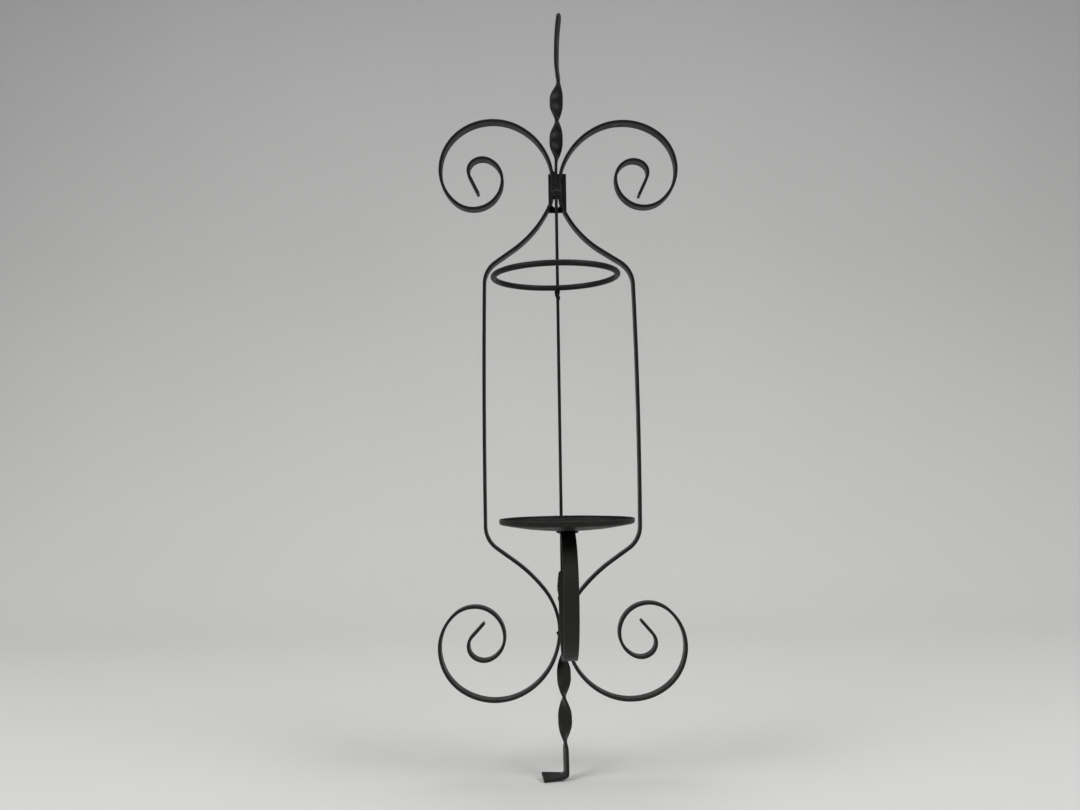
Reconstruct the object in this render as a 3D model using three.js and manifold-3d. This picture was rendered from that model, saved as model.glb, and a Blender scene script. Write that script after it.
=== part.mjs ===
// Wall sconce for a candle in a glass chimney, welded up from flat bar, round rod and a dished pan.
// Millimetres. +Z is up, +X is to the right, and the wall is the plane y = 0, with the sconce at y < 0.
// The origin is on the back of the hanging plate, behind the stem, level with the weld at the upper neck.
import * as THREE from "three";
import { mergeVertices } from "three/addons/utils/BufferGeometryUtils.js";
import Module from "manifold-3d";

const wasm = await Module();
wasm.setup();

// ---- Driving dimensions -------------------------------------------------------------------------

const AIR = 0.3; // gap between two pieces that a weld joins

const BAR = { width: 12.7, thickness: 2.8 }; // every flat bar is cut from this section
const PLATE = {
  width: 17.2,
  height: 38,
  thickness: 2.4,
  x: 1.35, // the plate's middle, from the origin
  z: 1.9,
  holeRadius: 4.5,
  holeX: 0.2,
  holeZ: -7.6,
};

const FRAME_Y = -(PLATE.thickness + AIR + BAR.width / 2); // middle of the bars that stand edge-on
const FRONT_Y = FRAME_Y - BAR.width / 2; // front edges of those bars
const NECK_X = BAR.thickness + AIR; // the outer bars pass this far from the stem's line at a neck

const STEM = {
  tip: 176.5,
  finialFoot: 113.8, // the plain finial ends and the upper twist starts
  upperTwistFoot: 29.3,
  lowerTwistHead: -429.1,
  lowerTwistFoot: -519.5,
  upperRamps: [0.07, 0.07], // shares of the upper twist over which it starts, from below, and stops
  lowerRamps: [0.06, 0.12], // the same for the lower one, from above
  floor: -542.9, // underside of the foot tab where it leaves the bend
  tabReach: 22, // the tab ends this far to the left of the stem
  tabBend: 3, // radius of the bend into the tab, at the middle of the bar
  finialTurn: 11, // degrees that the finial is turned past edge-on, by the twist below it
  footTurn: 12, // the same for the foot, by the twist above it
  tabTilt: 21, // degrees that the tab's free end rolls towards the viewer
  lean: 0.019, // the stem leans to the right above the neck
  leanFoot: 10,
  curl: 2.5, // the finial's tip curls on to the right
  curlFoot: 138,
  kick: 1.5, // and the stem kicks this far to the right where the finial meets the twist
  kickHeight: 112,
  kickSpan: 9,
  footLean: 0.011,
};

const RING = { outerRadius: 57.15, rodRadius: 2.65, z: -93.2, x: -3.05, roll: 0.7, gapTurn: 3.5, gap: 0.8 };
const PAN = { radius: 58.5, x: 3.6, rimTop: -305.2, rimFoot: -309.5, wall: 1.1, dish: 6.3 };
const HOOP = { radius: 53.7, x: 2.6, yaw: 1.3, legTop: 15.7, tongue: 8 };

// Bends of each scroll, counted from the neck inwards: [radius, degrees]. The tail is the straight end.
const SCROLLS = {
  upperLeft: {
    start: 10,
    bends: [
      [61, 25], [60, 40], [52.5, 60], [46.5, 55], [40.5, 50],
      [26.5, 65], [28, 65], [21.5, 65], [15, 60], [11.5, 81],
    ],
    tail: 19,
  },
  upperRight: {
    start: 5.5,
    bends: [
      [58, 25], [66, 40], [55, 60], [44.5, 55], [39, 50],
      [26, 65], [27.5, 65], [18, 65], [15.5, 60], [11.5, 80],
    ],
    tail: 19,
  },
  lowerLeft: {
    start: -410.5,
    bends: [
      [65, 25], [62, 40], [55, 60], [46, 55], [40.5, 50],
      [27.5, 65], [28, 65], [21.6, 65], [15.6, 60], [12.8, 98],
    ],
    tail: 16.4,
  },
  lowerRight: {
    start: -413,
    bends: [
      [61.5, 25], [61, 40], [55, 60], [46, 55], [43, 50],
      [28, 65], [27, 65], [22.7, 65], [15.1, 60], [12.6, 96],
    ],
    tail: 16,
  },
};

// Each outer bar between its two necks, counted from the upper neck down. The long side is slightly bowed:
// splay is how far it leans outwards at its top, and toe how far it leans inwards at its foot, in degrees.
const SIDES = {
  left: {
    start: 2,
    flare: { radius: 35, turn: 24 },
    sweep: { radius: 103, turn: 31 },
    shoulderRun: 21.1,
    shoulder: 25,
    splay: 1.1,
    toe: 0.45,
    run: 228,
    hip: { radius: 25, turn: 54 },
    gather: { radius: 138, turn: 16 },
    close: 62,
  },
  right: {
    start: 0,
    flare: { radius: 41, turn: 25 },
    sweep: { radius: 93.5, turn: 32.5 },
    shoulderRun: 21,
    shoulder: 26.5,
    splay: 1.7,
    toe: 0.85,
    run: 226.8,
    hip: { radius: 25, turn: 55 },
    gather: { radius: 146, turn: 15.5 },
    close: 61,
  },
};

const COLOURS = { paint: "#1d1e1c", weld: "#191a19" };

// ---- Materials ----------------------------------------------------------------------------------

const painted = (color, roughness) => new THREE.MeshStandardMaterial({ color, roughness, metalness: 0.1 });
const barPaint = () => painted(COLOURS.paint, 0.5);
const weldPaint = () => painted(COLOURS.weld, 0.6);

// ---- Paths in a plane ---------------------------------------------------------------------------

const radians = (degrees) => (degrees * Math.PI) / 180;

// A path is a list of {u, v, heading}. heading is in degrees: 0 is along +u and 90 along +v.
function startPath(u, v, heading) {
  return [{ u, v, heading }];
}

function goStraight(path, length) {
  const last = path[path.length - 1];
  const a = radians(last.heading);
  path.push({ u: last.u + length * Math.cos(a), v: last.v + length * Math.sin(a), heading: last.heading });
}

// Bends the path by turn degrees, positive to the left of its direction of travel.
function bend(path, radius, turn, degreesPerStep = 9) {
  const from = path[path.length - 1];
  const side = Math.sign(turn);
  const centreU = from.u - side * radius * Math.sin(radians(from.heading));
  const centreV = from.v + side * radius * Math.cos(radians(from.heading));
  const steps = Math.max(1, Math.round(Math.abs(turn) / degreesPerStep));
  for (let i = 1; i <= steps; i++) {
    const heading = from.heading + (turn * i) / steps;
    const u = centreU + side * radius * Math.sin(radians(heading));
    const v = centreV - side * radius * Math.cos(radians(heading));
    path.push({ u, v, heading });
  }
}

// The same path walked the other way.
function reversed(path) {
  return path.map(({ u, v, heading }) => ({ u, v, heading: heading + 180 })).reverse();
}

// ---- Solids -------------------------------------------------------------------------------------

// Joins rings of points, each with the same number of corners, into one closed body.
function loft(sections) {
  const corners = sections[0].length;
  const positions = sections.flat().flatMap((p) => [p.x, p.y, p.z]);
  const index = [];
  for (let s = 0; s + 1 < sections.length; s++) {
    for (let c = 0; c < corners; c++) {
      const a = s * corners + c;
      const b = s * corners + ((c + 1) % corners);
      index.push(a, b, a + corners, b, b + corners, a + corners);
    }
  }
  const end = (sections.length - 1) * corners;
  for (let c = 1; c + 1 < corners; c++) {
    index.push(0, c + 1, c);
    index.push(end, end + c, end + c + 1);
  }
  const geometry = new THREE.BufferGeometry();
  geometry.setAttribute("position", new THREE.Float32BufferAttribute(positions, 3));
  geometry.setIndex(index);
  return facingOut(geometry);
}

// Turns the triangles round where the body is inside out.
function facingOut(geometry) {
  const p = geometry.getAttribute("position");
  const index = geometry.index.array;
  const [a, b, c] = [new THREE.Vector3(), new THREE.Vector3(), new THREE.Vector3()];
  let volume = 0;
  for (let i = 0; i < index.length; i += 3) {
    a.fromBufferAttribute(p, index[i]);
    b.fromBufferAttribute(p, index[i + 1]);
    c.fromBufferAttribute(p, index[i + 2]);
    volume += a.dot(b.cross(c));
  }
  if (volume < 0) {
    for (let i = 0; i < index.length; i += 3) [index[i], index[i + 1]] = [index[i + 1], index[i]];
  }
  return geometry;
}

// A flat bar through stations {centre, across, normal, width}: across runs over its width, normal over its
// thickness. grow makes the section larger all round, for cutting a weld that meets the bar.
function flatBar(stations, grow = 0) {
  const sections = stations.map(({ centre, across, normal, width }) => {
    const w = width / 2 + grow;
    const t = BAR.thickness / 2 + grow;
    return [[-w, -t], [w, -t], [w, t], [-w, t]].map(([a, n]) =>
      centre.clone().addScaledVector(across, a).addScaledVector(normal, n));
  });
  return loft(sections);
}

function solid(geometry) {
  const bare = geometry.clone();
  bare.deleteAttribute("normal");
  bare.deleteAttribute("uv");
  const merged = mergeVertices(bare, 1e-4);
  return new wasm.Manifold(new wasm.Mesh({
    numProp: 3,
    vertProperties: new Float32Array(merged.getAttribute("position").array),
    triVerts: new Uint32Array(merged.index.array),
  }));
}

function geometryOf(manifold) {
  const mesh = manifold.getMesh();
  const geometry = new THREE.BufferGeometry();
  geometry.setAttribute("position", new THREE.BufferAttribute(mesh.vertProperties, 3));
  geometry.setIndex(new THREE.BufferAttribute(mesh.triVerts, 1));
  return geometry;
}

// ---- Scroll strips ------------------------------------------------------------------------------

// From the neck to the inner end. up is 1 for an upper scroll, and side is -1 on the left and 1 on the right.
function scrollPath({ start, bends, tail }, side, up) {
  const path = startPath(side * NECK_X, start, up * 90);
  const turnSign = -side * up;
  for (const [radius, turn] of bends) bend(path, radius, turnSign * turn);
  goStraight(path, tail);
  return path;
}

// From the upper neck out over the shoulder, down the long side and back in to the lower neck. The straight
// run below the hip is as long as it takes to come back to the neck.
function sidePath(spec, side) {
  const { start, flare, sweep, shoulderRun, shoulder, splay, toe, run, hip, gather, close } = spec;
  const bow = splay + toe;
  const draw = (hipRun) => {
    const path = startPath(side * NECK_X, start, -90);
    bend(path, flare.radius, side * flare.turn);
    bend(path, sweep.radius, side * sweep.turn);
    goStraight(path, shoulderRun);
    bend(path, shoulder, side * (splay - flare.turn - sweep.turn));
    bend(path, run / radians(bow), -side * bow, bow / 6);
    bend(path, hip.radius, -side * (hip.turn - toe));
    goStraight(path, hipRun);
    bend(path, gather.radius, side * gather.turn);
    bend(path, close, side * (hip.turn - gather.turn));
    return path;
  };
  const missing = side * draw(0).at(-1).u - NECK_X;
  return draw(missing / Math.sin(radians(hip.turn)));
}

function scrollStrip(side, upper, lower, between, grow) {
  const path = [
    ...reversed(scrollPath(upper, side, 1)),
    ...sidePath(between, side),
    ...scrollPath(lower, side, -1),
  ];
  const stations = path.map(({ u, v, heading }) => ({
    centre: new THREE.Vector3(u, FRAME_Y, v),
    across: new THREE.Vector3(0, 1, 0),
    normal: new THREE.Vector3(-Math.sin(radians(heading)), 0, Math.cos(radians(heading))),
    width: BAR.width,
  }));
  return flatBar(stations, grow);
}

// ---- Stem ---------------------------------------------------------------------------------------

// The stem's line wanders sideways a little, as the hand-made one does.
function stemX(z) {
  const above = Math.max(0, z - STEM.leanFoot);
  const tip = Math.max(0, (z - STEM.curlFoot) / (STEM.tip - STEM.curlFoot));
  const kick = Math.exp(-(((z - STEM.kickHeight) / STEM.kickSpan) ** 2));
  const below = Math.max(0, STEM.lowerTwistHead - z);
  return STEM.lean * above + STEM.curl * tip ** 2 + (above && STEM.kick * kick) + STEM.footLean * below;
}

// Share of a twist that is done at share u of its length: it starts and stops gently, over the ramps.
function eased(u, [start, stop]) {
  const rate = 1 / (1 - (start + stop) / 2);
  if (u < start) return (rate * u ** 2) / (2 * start);
  if (u > 1 - stop) return 1 - (rate * (1 - u) ** 2) / (2 * stop);
  return rate * (u - start / 2);
}

// Degrees that the bar is turned about the upright at height z: 0 is edge-on to the viewer.
function stemTurn(z) {
  if (z > STEM.upperTwistFoot) {
    const u = Math.min(1, (z - STEM.upperTwistFoot) / (STEM.finialFoot - STEM.upperTwistFoot));
    return eased(u, STEM.upperRamps) * (360 + STEM.finialTurn);
  }
  if (z < STEM.lowerTwistHead) {
    const u = Math.min(1, (STEM.lowerTwistHead - z) / (STEM.lowerTwistHead - STEM.lowerTwistFoot));
    return -eased(u, STEM.lowerRamps) * (360 + STEM.footTurn);
  }
  return 0;
}

// Heights where the upright part of the stem has a station, from the tip down.
function stemHeights(bendTop) {
  const heights = [];
  const run = (from, to, steps) => {
    for (let i = 0; i < steps; i++) heights.push(from + ((to - from) * i) / steps);
  };
  run(STEM.tip - BAR.width / 2, STEM.finialFoot, 9);
  run(STEM.finialFoot, STEM.upperTwistFoot, 32);
  run(STEM.upperTwistFoot, STEM.leanFoot, 1);
  run(STEM.leanFoot, STEM.lowerTwistHead, 1);
  run(STEM.lowerTwistHead, STEM.lowerTwistFoot, 32);
  heights.push(STEM.lowerTwistFoot, bendTop);
  return heights;
}

function stemStation(z, width) {
  const turn = radians(stemTurn(z));
  return {
    centre: new THREE.Vector3(stemX(z), FRAME_Y, z),
    across: new THREE.Vector3(Math.sin(turn), Math.cos(turn), 0),
    normal: new THREE.Vector3(Math.cos(turn), -Math.sin(turn), 0),
    width,
  };
}

// The half-round end of the finial.
function tipStations() {
  return [20, 38, 56, 74].map((degrees) => {
    const a = radians(degrees);
    return stemStation(STEM.tip - (BAR.width / 2) * (1 - Math.cos(a)), BAR.width * Math.sin(a));
  });
}

// The foot tab: the bar bends square to the left, and its free end rolls towards the viewer.
function tabStations(bendTop) {
  const foot = stemStation(bendTop, BAR.width);
  const out = foot.normal.clone().negate();
  const up = new THREE.Vector3(0, 0, 1);
  const stations = [];
  for (const degrees of [15, 30, 45, 60, 75, 90]) {
    const a = radians(degrees);
    stations.push({
      centre: foot.centre.clone()
        .addScaledVector(out, STEM.tabBend * (1 - Math.cos(a)))
        .addScaledVector(up, -STEM.tabBend * Math.sin(a)),
      across: foot.across,
      normal: foot.normal.clone().multiplyScalar(Math.cos(a)).addScaledVector(up, -Math.sin(a)),
      width: BAR.width,
    });
  }
  const corner = stations[stations.length - 1];
  const length = STEM.tabReach - STEM.tabBend;
  for (const share of [0.25, 0.5, 0.75, 1]) {
    const roll = radians(STEM.tabTilt * share);
    stations.push({
      centre: corner.centre.clone().addScaledVector(out, length * share),
      across: foot.across.clone().multiplyScalar(Math.cos(roll)).addScaledVector(up, Math.sin(roll)),
      normal: foot.across.clone().multiplyScalar(Math.sin(roll)).addScaledVector(up, -Math.cos(roll)),
      width: BAR.width,
    });
  }
  return stations;
}

function stem(grow) {
  const bendTop = STEM.floor + BAR.thickness / 2 + STEM.tabBend;
  const upright = stemHeights(bendTop).map((z) => stemStation(z, BAR.width));
  return flatBar([...tipStations(), ...upright, ...tabStations(bendTop)], grow);
}

// ---- Plate, ring, pan and hoop ------------------------------------------------------------------

function plate(grow) {
  const { width, height, thickness, x, z, holeRadius, holeX, holeZ } = PLATE;
  const outline = new THREE.Shape();
  outline.moveTo(x - width / 2, z - height / 2);
  outline.lineTo(x + width / 2, z - height / 2);
  outline.lineTo(x + width / 2, z + height / 2);
  outline.lineTo(x - width / 2, z + height / 2);
  outline.closePath();
  const hole = new THREE.Path();
  hole.absarc(holeX, holeZ, holeRadius, 0, 2 * Math.PI, true);
  outline.holes.push(hole);
  const shape = { depth: thickness + grow, bevelEnabled: false, curveSegments: 16 };
  return new THREE.ExtrudeGeometry(outline, shape).rotateX(Math.PI / 2);
}

// A round rod bent once round, with a saw-cut gap between its ends just to the right of the stem.
function ring(grow) {
  const centreRadius = RING.outerRadius - RING.rodRadius;
  const centreY = FRONT_Y - AIR - RING.outerRadius;
  const gapAngle = RING.gap / centreRadius;
  const first = Math.PI / 2 - radians(RING.gapTurn);
  const around = 60;
  const sides = 10;
  const sections = [];
  for (let i = 0; i <= around; i++) {
    const a = first - gapAngle / 2 - ((2 * Math.PI - gapAngle) * i) / around;
    const outward = new THREE.Vector3(Math.cos(a), Math.sin(a), 0);
    const section = [];
    for (let j = 0; j < sides; j++) {
      const b = (2 * Math.PI * j) / sides;
      const r = RING.rodRadius + grow;
      section.push(outward.clone().multiplyScalar(centreRadius + r * Math.cos(b)).setZ(r * Math.sin(b)));
    }
    sections.push(section);
  }
  return loft(sections).rotateY(-radians(RING.roll)).translate(RING.x, centreY, RING.z);
}

// The pan's outline, turned about its middle: dished floor, upright rim. grow thickens it all round.
function pan(grow) {
  const { radius, rimTop, rimFoot, wall, dish } = PAN;
  const floorSteps = 7;
  const outerRadius = radius + grow;
  const innerRadius = radius - wall - grow;
  const sag = (share) => dish * (1 - share ** 2);
  const outer = [];
  const inner = [];
  for (let i = 0; i <= floorSteps; i++) {
    const share = i / floorSteps;
    outer.push(new THREE.Vector2(outerRadius * share, rimFoot - grow - sag(share)));
    inner.push(new THREE.Vector2(innerRadius * share, rimFoot + wall + grow - sag(share)));
  }
  outer.push(new THREE.Vector2(outerRadius, rimTop + grow));
  inner.push(new THREE.Vector2(innerRadius, rimTop + grow));
  return new THREE.LatheGeometry([...outer, ...inner.reverse()], 60)
    .rotateX(Math.PI / 2)
    .translate(PAN.x, panY(), 0);
}

const panY = () => FRONT_Y - AIR - PAN.radius;
const panUnderside = () => PAN.rimFoot - PAN.dish;

// The hoop starts with its upright leg on the stem, turns down and round to the front and comes back over
// to a short flat tongue under the middle of the pan.
function hoop(grow) {
  const { radius, legTop, tongue, x, yaw } = HOOP;
  const legOffset = AIR + BAR.thickness / 2; // middle of the leg, in front of the stem
  const centreZ = panUnderside() - AIR - BAR.thickness / 2 - radius;
  const path = startPath(legOffset, centreZ + legTop, -90);
  goStraight(path, legTop);
  bend(path, radius, 270);
  goStraight(path, tongue);
  const forward = new THREE.Vector3(Math.sin(radians(yaw)), -Math.cos(radians(yaw)), 0);
  const across = new THREE.Vector3(Math.cos(radians(yaw)), Math.sin(radians(yaw)), 0);
  const station = ({ u, v, heading }, width) => ({
    centre: new THREE.Vector3(x, FRONT_Y, v).addScaledVector(forward, u),
    across,
    normal: forward.clone().multiplyScalar(-Math.sin(radians(heading))).setZ(Math.cos(radians(heading))),
    width,
  });
  const [end] = path;
  const round = BAR.width / 4; // radius of the corners at the leg's free end
  const corners = [0, 30, 60].map((degrees) => {
    const a = radians(degrees);
    const down = { ...end, v: end.v - round * (1 - Math.cos(a)) };
    return station(down, BAR.width - 2 * round * (1 - Math.sin(a)));
  });
  const below = station({ ...end, v: end.v - round }, BAR.width);
  return flatBar([...corners, below, ...path.slice(1).map((p) => station(p, BAR.width))], grow);
}

// ---- Welds --------------------------------------------------------------------------------------

// A bead: an egg-shaped lump, cut back from the pieces it joins. Slivers that the cuts leave are dropped.
function bead(centre, radii, neighbours) {
  const lump = new THREE.SphereGeometry(1, 18, 12).scale(...radii).translate(...centre);
  const cut = neighbours.reduce((body, other) => body.subtract(other), solid(lump));
  const bySize = cut.decompose().sort((a, b) => b.volume() - a.volume());
  return geometryOf(bySize[0]);
}

// Where each bead lies: {centre, radii, joins}. joins names the pieces that it is cut back from.
function beads() {
  const pan = panUnderside();
  const hoopTop = pan - AIR - BAR.thickness / 2;
  const hoopMiddle = hoopTop - HOOP.radius;
  const underPan = HOOP.x + Math.sin(radians(HOOP.yaw)) * HOOP.radius;
  const hoopEdge = BAR.width / 2 + AIR;
  return {
    upper_neck_weld: {
      centre: [0, FRONT_Y - 0.2, -1],
      radii: [4.6, 1.6, 2.9],
      joins: ["back_stem", "left_scroll_strip", "right_scroll_strip"],
    },
    lower_neck_weld: {
      centre: [-0.4, FRONT_Y - 0.2, -412.5],
      radii: [5.4, 1.6, 3.2],
      joins: ["back_stem", "left_scroll_strip", "right_scroll_strip"],
    },
    ring_weld: {
      centre: [-0.4, FRONT_Y - 0.2, RING.z - 4.6],
      radii: [2.3, 1.7, 6.2],
      joins: ["back_stem", "chimney_ring"],
    },
    pan_weld: {
      centre: [0.3, FRONT_Y - 0.2, PAN.rimFoot - 0.6],
      radii: [5.2, 1.9, 3.4],
      joins: ["back_stem", "drip_pan"],
    },
    hoop_weld: {
      centre: [-2, FRONT_Y + 0.1, hoopMiddle + 2],
      radii: [2.6, 1.9, 10],
      joins: ["back_stem", "support_hoop", "left_scroll_strip"],
    },
    hoop_pan_weld_left: {
      centre: [underPan - hoopEdge, panY() + 1, hoopTop + 0.3],
      radii: [3.2, 6.5, 1.9],
      joins: ["support_hoop", "drip_pan"],
    },
    hoop_pan_weld_right: {
      centre: [underPan + hoopEdge, panY() + 1, hoopTop + 0.3],
      radii: [3.2, 6.5, 1.9],
      joins: ["support_hoop", "drip_pan"],
    },
    plate_weld_left: {
      centre: [-NECK_X - BAR.thickness / 2, -PLATE.thickness - 0.4, 4],
      radii: [1.7, 1.5, 8],
      joins: ["hanging_plate", "left_scroll_strip"],
    },
    plate_weld_right: {
      centre: [NECK_X + BAR.thickness / 2, -PLATE.thickness - 0.4, 4],
      radii: [1.7, 1.5, 8],
      joins: ["hanging_plate", "right_scroll_strip"],
    },
  };
}

// ---- The part -----------------------------------------------------------------------------------

// Each piece as a function of grow, so that a weld can be cut by a copy that is larger by the gap.
const PIECES = {
  back_stem: stem,
  left_scroll_strip: (grow) => scrollStrip(-1, SCROLLS.upperLeft, SCROLLS.lowerLeft, SIDES.left, grow),
  right_scroll_strip: (grow) => scrollStrip(1, SCROLLS.upperRight, SCROLLS.lowerRight, SIDES.right, grow),
  hanging_plate: plate,
  chimney_ring: ring,
  drip_pan: pan,
  support_hoop: hoop,
};

const group = new THREE.Group();

function add(name, geometry, material) {
  geometry.computeVertexNormals();
  const mesh = new THREE.Mesh(geometry, material);
  mesh.name = name;
  group.add(mesh);
}

for (const [name, build] of Object.entries(PIECES)) add(name, build(0), barPaint());
for (const [name, { centre, radii, joins }] of Object.entries(beads())) {
  const cutters = joins.map((piece) => solid(PIECES[piece](AIR)));
  add(name, bead(centre, radii, cutters), weldPaint());
}

export default group;
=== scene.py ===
"""Looks for the wall sconce: a candle holder welded up from flat bar, round rod and a dished pan.

Lengths are given in millimetres and turned into metres where a mesh is made. +Z is up, +X is to the
right, the wall is the plane y = 0 and the sconce is at y < 0.
"""

import math
from collections import namedtuple

import bpy
from mathutils import Matrix, Vector, noise

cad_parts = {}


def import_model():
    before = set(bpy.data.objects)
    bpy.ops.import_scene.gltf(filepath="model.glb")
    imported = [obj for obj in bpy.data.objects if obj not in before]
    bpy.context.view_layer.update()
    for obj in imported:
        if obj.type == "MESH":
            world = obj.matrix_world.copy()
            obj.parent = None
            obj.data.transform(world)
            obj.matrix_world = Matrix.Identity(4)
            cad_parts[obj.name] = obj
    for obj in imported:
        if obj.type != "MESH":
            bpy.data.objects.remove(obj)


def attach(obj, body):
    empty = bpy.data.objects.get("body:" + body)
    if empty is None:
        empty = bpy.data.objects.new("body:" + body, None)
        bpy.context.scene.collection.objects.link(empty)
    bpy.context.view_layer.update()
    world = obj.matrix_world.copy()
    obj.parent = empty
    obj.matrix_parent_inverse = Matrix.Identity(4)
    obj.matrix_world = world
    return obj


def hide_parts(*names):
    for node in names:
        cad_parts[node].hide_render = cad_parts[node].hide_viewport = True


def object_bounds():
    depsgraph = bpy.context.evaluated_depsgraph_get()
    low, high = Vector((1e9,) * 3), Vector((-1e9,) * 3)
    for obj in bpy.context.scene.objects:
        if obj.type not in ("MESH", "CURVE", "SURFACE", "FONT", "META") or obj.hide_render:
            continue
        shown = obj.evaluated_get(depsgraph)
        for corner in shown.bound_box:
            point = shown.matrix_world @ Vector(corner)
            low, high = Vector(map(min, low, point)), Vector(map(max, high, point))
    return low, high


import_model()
CAD_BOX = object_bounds()

MM = 0.001

# ---- Driving dimensions, the same as the CAD's ---------------------------------------------------

AIR = 0.3  # gap that the CAD leaves between two pieces joined by a weld

BAR_WIDTH = 12.7
BAR_THICKNESS = 2.8
PLATE = dict(
    width=17.2, height=38, thickness=2.4, x=1.35, z=1.9,
    hole_radius=4.5, hole_x=0.2, hole_z=-7.6,
)

FRAME_Y = -(PLATE["thickness"] + AIR + BAR_WIDTH / 2)
FRONT_Y = FRAME_Y - BAR_WIDTH / 2
NECK_X = BAR_THICKNESS + AIR

# Heights along the stem, how its twists start and stop, the foot tab, and how the stem wanders sideways:
# it leans, kicks out where the finial meets the twist, and curls on at the tip.
STEM = dict(
    tip=176.5, finial_foot=113.8, upper_twist_foot=29.3,
    lower_twist_head=-429.1, lower_twist_foot=-519.5, floor=-542.9,
    upper_ramps=(0.07, 0.07), lower_ramps=(0.06, 0.12), finial_turn=11, foot_turn=12,
    tab_reach=22, tab_bend=3, tab_tilt=21,
    lean=0.019, lean_foot=10, curl=2.5, curl_foot=138,
    kick=1.5, kick_height=112, kick_span=9, foot_lean=0.011,
)
RING = dict(outer_radius=57.15, rod_radius=2.65, z=-93.2, x=-3.05, roll=0.7, gap_turn=3.5, gap=0.8)
PAN = dict(radius=58.5, x=3.6, rim_top=-305.2, rim_foot=-309.5, wall=1.1, dish=6.3)
HOOP = dict(radius=53.7, x=2.6, yaw=1.3, leg_top=15.7, tongue=8)

# Bends of each scroll from the neck inwards, (radius, degrees), and its straight tail.
SCROLLS = {
    "upper_left": dict(
        start=10, tail=19,
        bends=[(61, 25), (60, 40), (52.5, 60), (46.5, 55), (40.5, 50),
               (26.5, 65), (28, 65), (21.5, 65), (15, 60), (11.5, 81)],
    ),
    "upper_right": dict(
        start=5.5, tail=19,
        bends=[(58, 25), (66, 40), (55, 60), (44.5, 55), (39, 50),
               (26, 65), (27.5, 65), (18, 65), (15.5, 60), (11.5, 80)],
    ),
    "lower_left": dict(
        start=-410.5, tail=16.4,
        bends=[(65, 25), (62, 40), (55, 60), (46, 55), (40.5, 50),
               (27.5, 65), (28, 65), (21.6, 65), (15.6, 60), (12.8, 98)],
    ),
    "lower_right": dict(
        start=-413, tail=16,
        bends=[(61.5, 25), (61, 40), (55, 60), (46, 55), (43, 50),
               (28, 65), (27, 65), (22.7, 65), (15.1, 60), (12.6, 96)],
    ),
}

# Each outer bar from the upper neck to the lower one: (radius, degrees) for its bends. The long side
# leans outwards by splay at its top and inwards by toe at its foot, in degrees.
SIDES = {
    "left": dict(
        start=2, flare=(35, 24), sweep=(103, 31), shoulder_run=21.1, shoulder=25,
        splay=1.1, toe=0.45, run=228, hip=(25, 54), gather=(138, 16), close=62,
    ),
    "right": dict(
        start=0, flare=(41, 25), sweep=(93.5, 32.5), shoulder_run=21, shoulder=26.5,
        splay=1.7, toe=0.85, run=226.8, hip=(25, 55), gather=(146, 15.5), close=61,
    ),
}

# ---- Fineness and hand-work ----------------------------------------------------------------------

STEP = 1.5  # spacing of the stations along a bar
TWIST_STEP = 0.8
SKIN = 0.03  # the bars' faces stay this far inside the CAD's
ROD_SKIN = 0.06  # the same for the ring's rod
PAN_SKIN = 0.08  # and for the pan's rim
EDGE = 0.34  # the bar's rounded edges
END_EDGE = 0.35  # the same at its sheared ends
RIPPLE = 0.05  # how far the bar's faces wander, as bent and hammered steel does
RIPPLE_LENGTH = 14.0
PLATE_BEVEL = 0.4
PAN_FOLD = 1.3  # radius of the fold between the pan's floor and its rim
PAN_DENT = 0.12  # depth of the pan's dents and of its pressing line
PAN_RINGS = 36  # rings of points from the pan's middle to its rim

# ---- Paths in a plane ----------------------------------------------------------------------------

Point = namedtuple("Point", "u v heading")  # heading in degrees: 0 is along +u and 90 along +v


def go_straight(path, length, step=STEP):
    last = path[-1]
    a = math.radians(last.heading)
    steps = max(1, round(length / step))
    for i in range(1, steps + 1):
        along = length * i / steps
        path.append(Point(last.u + along * math.cos(a), last.v + along * math.sin(a), last.heading))


def bend(path, radius, turn, step=STEP):
    """Bends the path by turn degrees, positive to the left of its direction of travel."""
    last = path[-1]
    side = math.copysign(1, turn)
    start = math.radians(last.heading)
    centre_u = last.u - side * radius * math.sin(start)
    centre_v = last.v + side * radius * math.cos(start)
    length = math.radians(abs(turn)) * radius
    steps = max(1, round(length / step), round(abs(turn) / 4))
    for i in range(1, steps + 1):
        heading = last.heading + turn * i / steps
        a = math.radians(heading)
        u = centre_u + side * radius * math.sin(a)
        v = centre_v - side * radius * math.cos(a)
        path.append(Point(u, v, heading))


def scroll_path(spec, side, up):
    """From the neck to the inner end: up is 1 for an upper scroll, side is -1 left and 1 right."""
    path = [Point(side * NECK_X, spec["start"], up * 90)]
    for radius, turn in spec["bends"]:
        bend(path, radius, -side * up * turn)
    go_straight(path, spec["tail"])
    return path


def side_path(spec, side):
    """From the upper neck out over the shoulder, down the long side and in to the lower neck."""
    flare_radius, flare = spec["flare"]
    sweep_radius, sweep = spec["sweep"]
    hip_radius, hip = spec["hip"]
    gather_radius, gather = spec["gather"]
    bow = spec["splay"] + spec["toe"]

    def draw(hip_run):
        path = [Point(side * NECK_X, spec["start"], -90)]
        bend(path, flare_radius, side * flare)
        bend(path, sweep_radius, side * sweep)
        go_straight(path, spec["shoulder_run"])
        bend(path, spec["shoulder"], side * (spec["splay"] - flare - sweep))
        bend(path, spec["run"] / math.radians(bow), -side * bow)
        bend(path, hip_radius, -side * (hip - spec["toe"]))
        if hip_run:
            go_straight(path, hip_run)
        bend(path, gather_radius, side * gather)
        bend(path, spec["close"], side * (hip - gather))
        return path

    missing = side * draw(0)[-1].u - NECK_X
    return draw(missing / math.sin(math.radians(hip)))


# ---- Bars ----------------------------------------------------------------------------------------

Station = namedtuple("Station", "centre across normal width")


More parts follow.
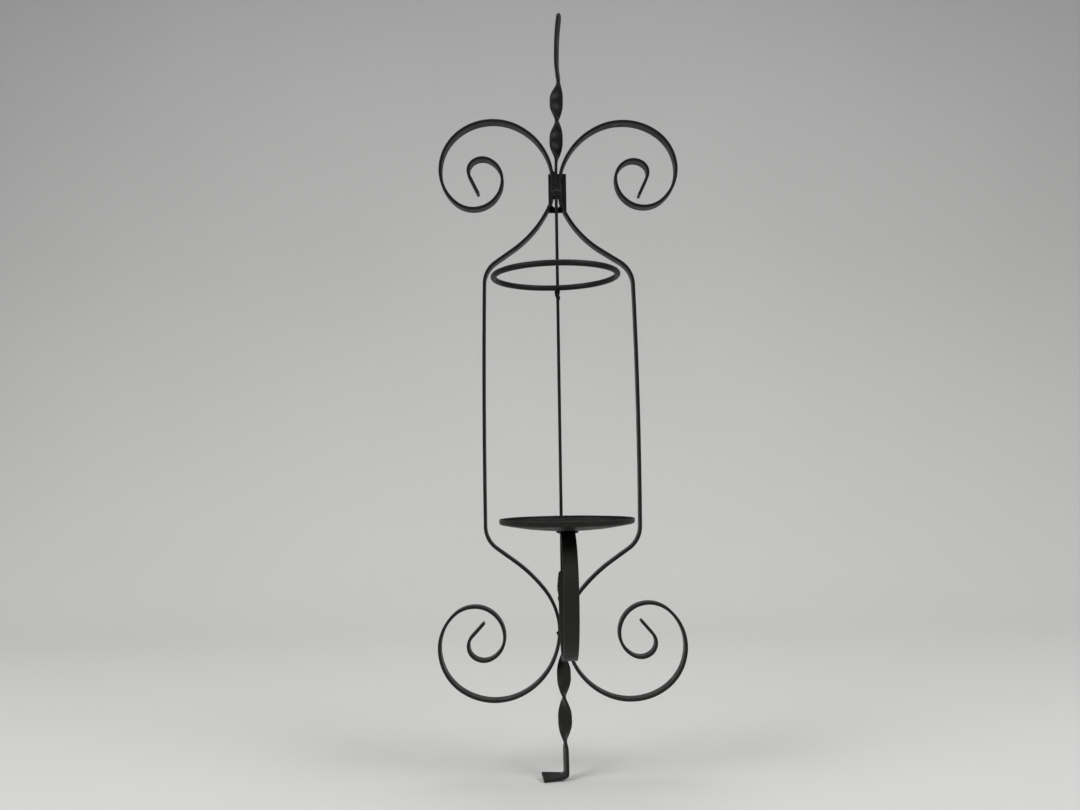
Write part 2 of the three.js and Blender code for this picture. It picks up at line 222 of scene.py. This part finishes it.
def section(width, thickness, edge):
    """The bar's outline as (across, normal) pairs, with rounded corners and points along the flats."""
    edge = min(edge, 0.45 * thickness, 0.45 * width)
    flat = width / 2 - edge
    rise = thickness / 2 - edge
    spread = (0.88, 0.35, -0.35, -0.88)

    def corner(a, n, first):
        angles = [math.radians(first + turn) for turn in (0, 30, 60, 90)]
        return [(a * flat + edge * math.cos(t), n * rise + edge * math.sin(t)) for t in angles]

    return (
        corner(1, -1, -90) + [(width / 2, 0)] + corner(1, 1, 0)
        + [(s * flat, thickness / 2) for s in spread]
        + corner(-1, 1, 90) + [(-width / 2, 0)] + corner(-1, -1, 180)
        + [(-s * flat, -thickness / 2) for s in spread]
    )


def ring_of(station, shrink, seed):
    """One station's outline in space. shrink takes that much off all round."""
    centre, across, normal, width = station
    points = []
    inset = 2 * (shrink + SKIN)
    for a, n in section(width - inset, BAR_THICKNESS - inset, EDGE):
        p = centre + across * a + normal * n
        points.append(p + normal * RIPPLE * noise.noise((p + seed) / RIPPLE_LENGTH))
    return points


def slid(station, towards, distance):
    """The same station moved by distance towards another one."""
    direction = (towards.centre - station.centre).normalized()
    return station._replace(centre=station.centre + direction * distance)


def flat_bar(stations, seed):
    """Rings of points for a bar through the stations, with its end edges rounded over."""
    seed = Vector((seed * 31.7, seed * 17.3, seed * 5.9))
    lead = [(0, 1), (0.3, 0.3), (1, 0)]  # (distance in, shrink) in parts of END_EDGE

    def rounded_end(last, towards):
        return [ring_of(slid(last, towards, d * END_EDGE), s * END_EDGE, seed) for d, s in lead]

    start = rounded_end(stations[0], stations[1])
    middle = [ring_of(station, 0, seed) for station in stations[1:-1]]
    end = rounded_end(stations[-1], stations[-2])
    return start + middle + end[::-1]


def loft(rings, closed=False):
    """Points and faces that join the rings. An open loft is capped at both ends."""
    corners = len(rings[0])
    points = [p for ring in rings for p in ring]
    faces = []
    last = len(rings) if closed else len(rings) - 1
    for s in range(last):
        here = s * corners
        there = (s + 1) % len(rings) * corners
        for c in range(corners):
            d = (c + 1) % corners
            faces.append((here + c, here + d, there + d, there + c))
    if not closed:
        end = (len(rings) - 1) * corners
        faces.append(tuple(reversed(range(corners))))
        faces.append(tuple(range(end, end + corners)))
    return points, faces


# ---- Scroll strips -------------------------------------------------------------------------------


def scroll_strip(side, upper, lower, between, seed):
    """One outer bar, from the upper scroll's inner end to the lower scroll's."""
    inwards = [Point(u, v, heading + 180) for u, v, heading in scroll_path(upper, side, 1)]
    path = inwards[::-1] + side_path(between, side)[1:] + scroll_path(lower, side, -1)[1:]
    stations = []
    for u, v, heading in path:
        a = math.radians(heading)
        normal = Vector((-math.sin(a), 0, math.cos(a)))
        stations.append(Station(Vector((u, FRAME_Y, v)), Vector((0, 1, 0)), normal, BAR_WIDTH))
    return loft(flat_bar(stations, seed))


# ---- Stem ----------------------------------------------------------------------------------------


def stem_x(z):
    """The stem's line wanders sideways a little."""
    above = max(0, z - STEM["lean_foot"])
    tip = max(0, (z - STEM["curl_foot"]) / (STEM["tip"] - STEM["curl_foot"]))
    kick = math.exp(-(((z - STEM["kick_height"]) / STEM["kick_span"]) ** 2)) if above else 0
    below = max(0, STEM["lower_twist_head"] - z)
    drift = STEM["lean"] * above + STEM["curl"] * tip**2 + STEM["kick"] * kick
    return drift + STEM["foot_lean"] * below


def eased(u, ramps):
    """Share of a twist that is done at share u of its length. It starts and stops over the ramps."""
    start, stop = ramps
    rate = 1 / (1 - (start + stop) / 2)
    if u < start:
        return rate * u**2 / (2 * start)
    if u > 1 - stop:
        return 1 - rate * (1 - u) ** 2 / (2 * stop)
    return rate * (u - start / 2)


def stem_turn(z):
    """Degrees that the bar is turned about the upright at height z: 0 is edge-on from the front."""
    if z > STEM["upper_twist_foot"]:
        u = (z - STEM["upper_twist_foot"]) / (STEM["finial_foot"] - STEM["upper_twist_foot"])
        return eased(min(1, u), STEM["upper_ramps"]) * (360 + STEM["finial_turn"])
    if z < STEM["lower_twist_head"]:
        u = (STEM["lower_twist_head"] - z) / (STEM["lower_twist_head"] - STEM["lower_twist_foot"])
        return -eased(min(1, u), STEM["lower_ramps"]) * (360 + STEM["foot_turn"])
    return 0


def stem_station(z, width):
    a = math.radians(stem_turn(z))
    across = Vector((math.sin(a), math.cos(a), 0))
    normal = Vector((math.cos(a), -math.sin(a), 0))
    return Station(Vector((stem_x(z), FRAME_Y, z)), across, normal, width)


def spaced(start, end, step):
    """Heights from start down to end, without end."""
    steps = max(1, round((start - end) / step))
    return [start + (end - start) * i / steps for i in range(steps)]


def tip_stations():
    """The half-round end of the finial."""
    stations = []
    for degrees in range(20, 90, 7):
        a = math.radians(degrees)
        z = STEM["tip"] - BAR_WIDTH / 2 * (1 - math.cos(a))
        stations.append(stem_station(z, BAR_WIDTH * math.sin(a)))
    return stations


def tab_stations(bend_top):
    """The foot tab: the bar bends square to the left and its free end rolls towards the viewer."""
    foot = stem_station(bend_top, BAR_WIDTH)
    radius = STEM["tab_bend"]
    out = -foot.normal
    up = Vector((0, 0, 1))
    stations = []
    for degrees in range(10, 91, 10):
        a = math.radians(degrees)
        centre = foot.centre + out * radius * (1 - math.cos(a)) - up * radius * math.sin(a)
        normal = foot.normal * math.cos(a) - up * math.sin(a)
        stations.append(Station(centre, foot.across, normal, BAR_WIDTH))
    corner = stations[-1]
    length = STEM["tab_reach"] - radius
    steps = round(length / STEP)
    for i in range(1, steps + 1):
        roll = math.radians(STEM["tab_tilt"] * i / steps)
        centre = corner.centre + out * length * i / steps
        across = foot.across * math.cos(roll) + up * math.sin(roll)
        normal = foot.across * math.sin(roll) - up * math.cos(roll)
        stations.append(Station(centre, across, normal, BAR_WIDTH))
    return stations


def stem():
    bend_top = STEM["floor"] + BAR_THICKNESS / 2 + STEM["tab_bend"]
    heights = (
        spaced(STEM["tip"] - BAR_WIDTH / 2, STEM["finial_foot"], STEP)
        + spaced(STEM["finial_foot"], STEM["upper_twist_foot"], TWIST_STEP)
        + spaced(STEM["upper_twist_foot"], STEM["lower_twist_head"], STEP)
        + spaced(STEM["lower_twist_head"], STEM["lower_twist_foot"], TWIST_STEP)
        + spaced(STEM["lower_twist_foot"], bend_top, STEP)
        + [bend_top]
    )
    upright = [stem_station(z, BAR_WIDTH) for z in heights]
    return loft(flat_bar(tip_stations() + upright + tab_stations(bend_top), 3))


# ---- Plate, ring, pan and hoop -------------------------------------------------------------------


def plate():
    """A flat plate with a round hole, its rims rounded over, as rings from the hole to the edge."""
    width, height, thickness = PLATE["width"], PLATE["height"], PLATE["thickness"]
    middle = Vector((PLATE["x"], 0, PLATE["z"]))
    hole = Vector((PLATE["hole_x"], 0, PLATE["hole_z"]))
    around = 96

    def edge_point(direction, inset):
        """Where a ray from the hole's middle meets the plate's edge."""
        reach = []
        for axis, half in ((0, width / 2 - inset), (2, height / 2 - inset)):
            limit = middle[axis] + math.copysign(half, direction[axis])
            if abs(direction[axis]) > 1e-9:
                reach.append((limit - hole[axis]) / direction[axis])
        return hole + direction * min(reach)

    corners = [middle + Vector((sx * width / 2, 0, sz * height / 2)) - hole
               for sx in (-1, 1) for sz in (-1, 1)]
    turns = [2 * math.pi * i / around for i in range(around)]
    turns += [math.atan2(c.z, c.x) % (2 * math.pi) for c in corners]
    turns = sorted(set(turns))
    bevel = PLATE_BEVEL
    # (which rim, distance in from it, depth below the face)
    profile = [
        ("hole", 0, bevel), ("hole", 0.3 * bevel, 0.3 * bevel), ("hole", bevel, 0),
        ("edge", bevel, 0), ("edge", 0.3 * bevel, 0.3 * bevel), ("edge", 0, bevel),
    ]
    front = [(kind, inset, -thickness + depth) for kind, inset, depth in profile]
    back = [(kind, inset, -depth) for kind, inset, depth in reversed(profile)]
    rings = []
    for kind, inset, y in front + back:
        outline = []
        for turn in turns:
            direction = Vector((math.cos(turn), 0, math.sin(turn)))
            if kind == "hole":
                p = hole + direction * (PLATE["hole_radius"] + inset)
            else:
                p = edge_point(direction, inset)
            outline.append(Vector((p.x, y, p.z)))
        rings.append(outline)
    return loft(rings, closed=True)


def ring():
    """A round rod bent once round, with a small gap between its ends at the stem, under the weld."""
    centre_radius = RING["outer_radius"] - RING["rod_radius"]
    centre = Vector((RING["x"], FRONT_Y - AIR - RING["outer_radius"], RING["z"]))
    roll = Matrix.Rotation(-math.radians(RING["roll"]), 3, "Y")
    gap_angle = RING["gap"] / centre_radius
    first = math.pi / 2 - math.radians(RING["gap_turn"]) - gap_angle / 2
    sweep = 2 * math.pi - gap_angle
    around, sides = 260, 20
    lead = [(0, 0.5), (0.12, 0.18), (0.4, 0)]  # (distance in, shrink) at each end
    shares = [(d / (sweep * centre_radius), s) for d, s in lead]
    steps = [(i / around, 0) for i in range(1, around)]
    shares = shares + steps + [(1 - share, shrink) for share, shrink in reversed(shares)]
    rings = []
    for share, shrink in shares:
        a = first - sweep * share
        outward = Vector((math.cos(a), math.sin(a), 0))
        wander = 0.05 * noise.noise(outward * 3.1)
        points = []
        for j in range(sides):
            b = 2 * math.pi * j / sides
            r = RING["rod_radius"] - ROD_SKIN - shrink + wander
            p = outward * (centre_radius + r * math.cos(b)) + Vector((0, 0, r * math.sin(b)))
            points.append(roll @ p + centre)
        rings.append(points)
    return loft(rings)


def pan_y():
    return FRONT_Y - AIR - PAN["radius"]


def pan_underside():
    return PAN["rim_foot"] - PAN["dish"]


def pan():
    """A pressed pan: dished floor with a faint pressing line, folded up to a rim with a rounded lip."""
    radius, wall, dish = PAN["radius"], PAN["wall"], PAN["dish"]
    top, foot = PAN["rim_top"], PAN["rim_foot"]
    fold = PAN_FOLD
    outer_radius = radius - PAN_SKIN
    inner_radius = outer_radius - wall

    def floor_height(r):
        return foot - dish * (1 - (r / radius) ** 2)

    def surface(reach, last, lift):
        """(r, z) points of one side of the pan: its floor from the middle out, and its fold."""
        radii = [0.02] + [reach * i / PAN_RINGS for i in range(1, last)] + [reach - fold]
        side = [(r, floor_height(r) + lift) for r in radii]
        for degrees in (30, 60, 90):
            a = math.radians(degrees)
            side.append((reach - fold * (1 - math.sin(a)), foot + lift + fold * (1 - math.cos(a))))
        return side

    lip = wall / 2
    lip_points = []
    for degrees in range(0, 181, 30):
        a = math.radians(degrees)
        lip_points.append((outer_radius - lip + lip * math.cos(a), top - lip + lip * math.sin(a)))
    outer = surface(outer_radius, PAN_RINGS, 0) + lip_points
    inner = surface(inner_radius, PAN_RINGS - 1, wall)
    around = 220
    middle = Vector((PAN["x"], pan_y(), 0))
    rings = []
    for r, z in outer + inner[::-1]:
        share = r / radius
        points = []
        for i in range(around):
            a = 2 * math.pi * i / around
            direction = Vector((math.cos(a), math.sin(a), 0))
            dent = PAN_DENT * share**2 * noise.noise(direction * 2.3 + Vector((7, 1, 3)))
            press = -PAN_DENT * math.exp(-(((r - 0.62 * radius) / 1.6) ** 2))
            height = z + dent + press - PAN_SKIN * share**2
            points.append(middle + Vector((0, 0, height)) + direction * r)
        rings.append(points)
    return loft(rings)


def hoop_top():
    """Height of the middle of the bar where it runs under the pan."""
    return pan_underside() - AIR - BAR_THICKNESS / 2


def hoop():
    """From a leg up the stem, down and round to the front, and to a tongue under the pan's middle."""
    yaw = math.radians(HOOP["yaw"])
    forward = Vector((math.sin(yaw), -math.cos(yaw), 0))
    across = Vector((math.cos(yaw), math.sin(yaw), 0))
    path = [Point(AIR + BAR_THICKNESS / 2, hoop_top() - HOOP["radius"] + HOOP["leg_top"], -90)]
    go_straight(path, HOOP["leg_top"])
    bend(path, HOOP["radius"], 270)
    go_straight(path, HOOP["tongue"])

    def station(point, width, drop=0):
        a = math.radians(point.heading)
        centre = Vector((HOOP["x"], FRONT_Y, point.v - drop)) + forward * point.u
        normal = forward * -math.sin(a) + Vector((0, 0, math.cos(a)))
        return Station(centre, across, normal, width)

    corner = BAR_WIDTH / 4  # the leg's top end has rounded corners
    rounded = []
    for degrees in range(0, 90, 10):
        a = math.radians(degrees)
        width = BAR_WIDTH - 2 * corner * (1 - math.sin(a))
        rounded.append(station(path[0], width, corner * (1 - math.cos(a))))

    def past_corners(point):
        return path[0].v - point.v > corner or point.u > path[0].u + 0.01

    rest = [station(point, BAR_WIDTH) for point in path if past_corners(point)]
    return loft(flat_bar(rounded + rest, 4))


# ---- Welds ---------------------------------------------------------------------------------------


def bead(centre, radii, axis, ripples, seed):
    """An egg-shaped lump along axis, with the overlapping ripples that a weld pool leaves.

    ripples is how many there are, and seed tells one bead's lumps from another's.
    """
    centre = Vector(centre)
    seed = Vector((seed * 13.1, seed * 7.7, seed * 3.3))
    along, around = 60, 44
    order = {"x": (1, 2, 0), "y": (2, 0, 1), "z": (0, 1, 2)}[axis]
    rings = []
    for i in range(1, along):
        t = math.pi * i / along
        s = -math.cos(t)
        points = []
        for j in range(around):
            p = 2 * math.pi * j / around
            unit = [0, 0, 0]
            unit[order[0]] = math.sin(t) * math.cos(p)
            unit[order[1]] = math.sin(t) * math.sin(p)
            unit[order[2]] = s
            unit = Vector(unit)
            crescent = 0.22 * math.cos(p) ** 2
            ripple = abs(math.sin(math.pi * ripples * (s + crescent) / 2))
            lumps = noise.noise(unit * 1.7 + seed) * 0.16 + noise.noise(unit * 5.1 + seed) * 0.05
            swell = 1 + 0.09 * (ripple - 0.6) + lumps
            points.append(centre + Vector(c * r * swell for c, r in zip(unit, radii)))
        rings.append(points)
    return loft(rings)


def joined(*meshes):
    """Several (points, faces) as one."""
    points, faces = [], []
    for more_points, more_faces in meshes:
        base = len(points)
        points += more_points
        faces += [tuple(base + i for i in face) for face in more_faces]
    return points, faces


def welds():
    """Each weld's mesh by its node's name."""
    z_hoop = hoop_top() - HOOP["radius"]
    under_pan = HOOP["x"] + math.sin(math.radians(HOOP["yaw"])) * HOOP["radius"]
    edge = BAR_WIDTH / 2
    fillet_y, fillet_z = pan_y() + 1, hoop_top() + 1
    plate_x = NECK_X + BAR_THICKNESS / 2
    plate_front = -PLATE["thickness"] - AIR
    return {
        "upper_neck_weld": joined(
            bead((0, FRONT_Y + 0.3, -1), (4.8, 1.7, 3.1), "x", 3, 1),
            bead((-0.4, FRONT_Y + 0.2, -3.4), (3.4, 1.4, 1.9), "x", 2, 2),
        ),
        "lower_neck_weld": joined(
            bead((-0.4, FRONT_Y + 0.3, -412.5), (5.4, 1.7, 3.3), "x", 3, 3),
            bead((1.4, FRONT_Y + 0.2, -415.4), (2.3, 1.4, 1.7), "z", 2, 4),
        ),
        "ring_weld": joined(
            bead((-0.5, FRONT_Y + 0.1, RING["z"] - 3.6), (2.4, 1.9, 5.6), "z", 4, 5),
            bead((0.9, FRONT_Y + 0.1, RING["z"] - 8.9), (1.2, 1.2, 2.4), "z", 2, 6),
        ),
        "pan_weld": joined(
            bead((0.3, FRONT_Y + 0.1, PAN["rim_foot"] - 0.6), (5.3, 2.0, 3.5), "x", 4, 7),
            bead((-5.2, FRONT_Y - 0.7, PAN["rim_top"] - 0.6), (0.9, 0.9, 0.8), "z", 1, 8),
            bead((4.6, FRONT_Y - 0.8, PAN["rim_top"] - 0.6), (0.9, 0.9, 0.8), "z", 1, 9),
        ),
        "hoop_weld": joined(
            bead((-2.3, FRONT_Y + 0.1, z_hoop + 2), (2.4, 2.0, 9.8), "z", 6, 10),
            bead((-2.6, FRONT_Y + 0.1, z_hoop - 9.5), (1.8, 1.6, 3.4), "z", 3, 11),
        ),
        "hoop_pan_weld_left": bead((under_pan - edge, fillet_y, fillet_z), (3.2, 6.6, 1.7), "y", 5, 12),
        "hoop_pan_weld_right": bead((under_pan + edge, fillet_y, fillet_z), (3.2, 6.6, 1.7), "y", 5, 13),
        "plate_weld_left": joined(
            bead((-plate_x, plate_front, 4), (1.7, 1.6, 8.2), "z", 7, 14),
            bead((-2.2, plate_front - 0.6, 21.2), (1.1, 1.6, 2.3), "z", 2, 16),
        ),
        "plate_weld_right": bead((plate_x, plate_front, 4), (1.7, 1.6, 8.2), "z", 7, 15),
    }


# ---- Materials -----------------------------------------------------------------------------------


def add_node(tree, kind, inputs=None, **settings):
    """A shader node with its settings and inputs. An input is a socket to link or a plain value."""
    made = tree.nodes.new("ShaderNode" + kind)
    for key, value in settings.items():
        setattr(made, key, value)
    for key, value in (inputs or {}).items():
        if isinstance(value, bpy.types.NodeSocket):
            tree.links.new(value, made.inputs[key])
        else:
            made.inputs[key].default_value = value
    return made


def grain(tree, place, wavelength, detail=2.0, roughness=0.5):
    """Noise from 0 to 1 with lumps about wavelength millimetres apart."""
    scale = 1 / (wavelength * MM)
    inputs = {"Vector": place, "Scale": scale, "Detail": detail, "Roughness": roughness}
    return add_node(tree, "TexNoise", inputs).outputs["Fac"]


def remapped(tree, value, low, high, to_low=0.0, to_high=1.0):
    """The value, spread from low and high to to_low and to_high, and held between those."""
    inputs = {"Value": value, "From Min": low, "From Max": high, "To Min": to_low, "To Max": to_high}
    return add_node(tree, "MapRange", inputs).outputs["Result"]


def times(tree, a, b):
    return add_node(tree, "Math", {0: a, 1: b}, operation="MULTIPLY").outputs[0]


def plus(tree, a, b):
    return add_node(tree, "Math", {0: a, 1: b}, operation="ADD", use_clamp=True).outputs[0]


def blended(tree, share, a, b):
    """A colour between a and b."""
    node = add_node(tree, "Mix", {"Factor": share, "A": a, "B": b}, data_type="RGBA")
    return node.outputs["Result"]


def bumped(tree, height, depth, strength=1.0, under=None):
    """Raises the surface by up to depth millimetres where height is 1."""
    inputs = {"Height": height, "Distance": depth * MM, "Strength": strength}
    if under is not None:
        inputs["Normal"] = under
    return add_node(tree, "Bump", inputs).outputs["Normal"]


def height_of(tree, vector):
    """The upward part of a place or of a direction."""
    return add_node(tree, "SeparateXYZ", {0: vector}).outputs["Z"]


# Painted light: a paler paint colour for the foot, standing in for the light thrown up from the floor
# onto the lower bars.
FLOOR_LIT_PAINT = (0.0165, 0.0163, 0.0150, 1)  # the paint at the foot
DUST = (0.11, 0.105, 0.095, 1)
WORN_PAINT = (0.045, 0.040, 0.034, 1)
PAINT_SPECULAR = 0.17
# Painted shade: the paper gets a darker colour at the top, standing in for less light reaching the high
# backdrop.
PAPER_AT_FOOT = (0.71, 0.71, 0.70, 1)
PAPER_SHADED_AT_TOP = (0.44, 0.44, 0.44, 1)


def painted_metal(name, dark, light, rough, peel, lumps):
    """Satin black paint: cloudy, paler towards the foot by painted light, dusty on top, worn at edges,
    orange peel.

    dark and light are the two tones of the clouds, rough the middle of the roughness, and peel and
    lumps the heights in millimetres of the orange peel and of the wider unevenness.
    """
    material = bpy.data.materials.new(name)
    material.use_nodes = True
    tree = material.node_tree
    shader = tree.nodes["Principled BSDF"]
    place = add_node(tree, "TexCoord").outputs["Object"]
    geometry = add_node(tree, "NewGeometry")

    cloud = remapped(tree, grain(tree, place, 32, 3.0), 0.35, 0.65)
    colour = blended(tree, cloud, dark, light)
    # Painted light: the paint turns paler towards the foot, where the light thrown up from the floor
    # falls.
    paler = remapped(tree, height_of(tree, place), -0.02, -0.5)
    colour = blended(tree, paler, colour, FLOOR_LIT_PAINT)

    facing = height_of(tree, geometry.outputs["Normal"])
    settled = remapped(tree, facing, 0.35, 0.95)
    patches = remapped(tree, grain(tree, place, 7, 4.0, 0.6), 0.42, 0.72)
    dust = times(tree, times(tree, settled, patches), 0.12)
    colour = blended(tree, dust, colour, DUST)

    edges = remapped(tree, geometry.outputs["Pointiness"], 0.515, 0.6)
    rubbed = remapped(tree, grain(tree, place, 5, 4.0, 0.65), 0.5, 0.66)
    wear = times(tree, times(tree, edges, rubbed), 0.7)
    colour = blended(tree, wear, colour, WORN_PAINT)

    streaks = remapped(tree, grain(tree, place, 11, 3.0), 0.3, 0.7, rough - 0.06, rough + 0.08)
    roughness = plus(tree, streaks, times(tree, dust, 0.5))

    scattered = {"Vector": place, "Scale": 1 / (3.2 * MM), "Randomness": 1.0}
    nibs = add_node(tree, "TexVoronoi", scattered)
    specks = remapped(tree, nibs.outputs["Distance"], 0.03, 0.12, 1.0, 0.0)
    normal = bumped(tree, grain(tree, place, 9, 2.0), lumps)
    normal = bumped(tree, grain(tree, place, 0.9, 3.0, 0.6), peel, under=normal)
    normal = bumped(tree, specks, 0.03, 0.6, under=normal)

    tree.links.new(colour, shader.inputs["Base Color"])
    tree.links.new(roughness, shader.inputs["Roughness"])
    tree.links.new(normal, shader.inputs["Normal"])
    shader.inputs["Metallic"].default_value = 0.0
    shader.inputs["Specular IOR Level"].default_value = PAINT_SPECULAR
    return material


def studio_paper(name):
    """The pale matt floor and its sweep up at the back, with painted shade that darkens the paper
    towards the top.
    """
    material = bpy.data.materials.new(name)
    material.use_nodes = True
    tree = material.node_tree
    shader = tree.nodes["Principled BSDF"]
    place = add_node(tree, "TexCoord").outputs["Object"]
    # Painted shade: the paper's colour darkens from the floor up the sweep, in place of the light
    # falling off with height.
    rise = remapped(tree, height_of(tree, place), -0.5, 1.2)
    tone = remapped(tree, grain(tree, place, 600, 2.0), 0.3, 0.7, 0.0, 0.06)
    colour = blended(tree, plus(tree, rise, tone), PAPER_AT_FOOT, PAPER_SHADED_AT_TOP)
    tree.links.new(colour, shader.inputs["Base Color"])
    shader.inputs["Roughness"].default_value = 0.85
    return material


# ---- Making the pieces ---------------------------------------------------------------------------


def mesh_object(name, points, faces, material):
    """An object in the scene from points in millimetres."""
    mesh = bpy.data.meshes.new(name)
    mesh.from_pydata([p * MM for p in points], [], faces)
    mesh.validate()
    mesh.materials.append(material)
    mesh.shade_smooth()
    made = bpy.data.objects.new(name, mesh)
    bpy.context.scene.collection.objects.link(made)
    return made


def facing_out(points, faces):
    """The faces, turned round if the closed body is inside out."""
    volume = 0
    for face in faces:
        a = points[face[0]]
        for i in range(1, len(face) - 1):
            volume += a.dot(points[face[i]].cross(points[face[i + 1]]))
    return faces if volume > 0 else [tuple(reversed(face)) for face in faces]


def add_piece(node, shape, material):
    """A piece that stands for the CAD node of nearly the same name."""
    points, faces = shape
    made = mesh_object(node + "_finish", points, facing_out(points, faces), material)
    weighted = made.modifiers.new("face weighted normals", "WEIGHTED_NORMAL")
    weighted.weight = 80
    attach(made, "root")
    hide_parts(node)


BAR_PAINT = painted_metal(
    "satin black paint", dark=(0.0036, 0.0037, 0.0034, 1), light=(0.0064, 0.0065, 0.0060, 1),
    rough=0.46, peel=0.012, lumps=0.06,
)
WELD_PAINT = painted_metal(
    "paint over weld", dark=(0.0032, 0.0031, 0.0029, 1), light=(0.0060, 0.0058, 0.0053, 1),
    rough=0.42, peel=0.03, lumps=0.14,
)

SHAPES = {
    "back_stem": stem(),
    "left_scroll_strip": scroll_strip(
        -1, SCROLLS["upper_left"], SCROLLS["lower_left"], SIDES["left"], seed=1
    ),
    "right_scroll_strip": scroll_strip(
        1, SCROLLS["upper_right"], SCROLLS["lower_right"], SIDES["right"], seed=2
    ),
    "hanging_plate": plate(),
    "chimney_ring": ring(),
    "drip_pan": pan(),
    "support_hoop": hoop(),
}
for node_name, shape in SHAPES.items():
    add_piece(node_name, shape, BAR_PAINT)
for node_name, shape in welds().items():
    add_piece(node_name, shape, WELD_PAINT)

# ---- Studio --------------------------------------------------------------------------------------


def studio_floor():
    """A pale sheet that lies under the foot and sweeps up into a wall well behind the sconce."""
    floor_z = CAD_BOX[0].z / MM
    half_width, front, wall_y, sweep, top = 9000, -6000, 1700, 900, 3500
    profile = [(front, floor_z), (0, floor_z)]
    for degrees in range(0, 91, 5):
        a = math.radians(degrees)
        profile.append((wall_y - sweep * (1 - math.sin(a)), floor_z + sweep * (1 - math.cos(a))))
    profile.append((wall_y, top))
    points, faces = [], []
    for y, z in profile:
        points += [Vector((-half_width, y, z)), Vector((half_width, y, z))]
    for i in range(len(profile) - 1):
        faces.append((2 * i, 2 * i + 1, 2 * i + 3, 2 * i + 2))
    mesh_object("studio_floor", points, faces, studio_paper("studio paper"))


def area_light(name, place, target, size, power):
    """A square soft light at place, aimed at target. Both are in metres."""
    data = bpy.data.lights.new(name, "AREA")
    data.shape = "RECTANGLE"
    data.size, data.size_y = size
    data.energy = power
    made = bpy.data.objects.new(name, data)
    made.location = place
    made.rotation_euler = (Vector(target) - Vector(place)).to_track_quat("-Z", "Y").to_euler()
    made.visible_camera = False
    bpy.context.scene.collection.objects.link(made)


def camera():
    """Level with the middle of the candle's space, a little to the left, looking slightly up."""
    data = bpy.data.cameras.new("camera")
    data.lens, data.sensor_width = 32.17, 36
    made = bpy.data.objects.new("camera", data)
    place = Matrix.Translation(Vector((-18.2, -912.05, -266.9)) * MM)
    pitch = Matrix.Rotation(math.radians(90 + 4.1), 4, "X")
    roll = Matrix.Rotation(math.radians(-0.82), 4, "Z")
    made.matrix_world = place @ pitch @ roll
    bpy.context.scene.collection.objects.link(made)
    bpy.context.scene.camera = made


def world():
    """Even pale light from all round."""
    made = bpy.data.worlds.new("studio")
    made.use_nodes = True
    background = made.node_tree.nodes["Background"]
    background.inputs["Color"].default_value = (0.81, 0.81, 0.81, 1)
    background.inputs["Strength"].default_value = 0.42
    bpy.context.scene.world = made


studio_floor()
camera()
world()
MIDDLE = (CAD_BOX[0] + CAD_BOX[1]) / 2
area_light("left softbox", (-1.4, -1.1, 1.0), MIDDLE, (1.0, 1.0), 18)
area_light("right softbox", (1.4, -1.1, 1.0), MIDDLE, (1.0, 1.0), 18)
area_light("ceiling", (0, -0.3, 1.9), MIDDLE, (2.4, 1.6), 17)

bpy.context.scene.view_settings.view_transform = "Standard"
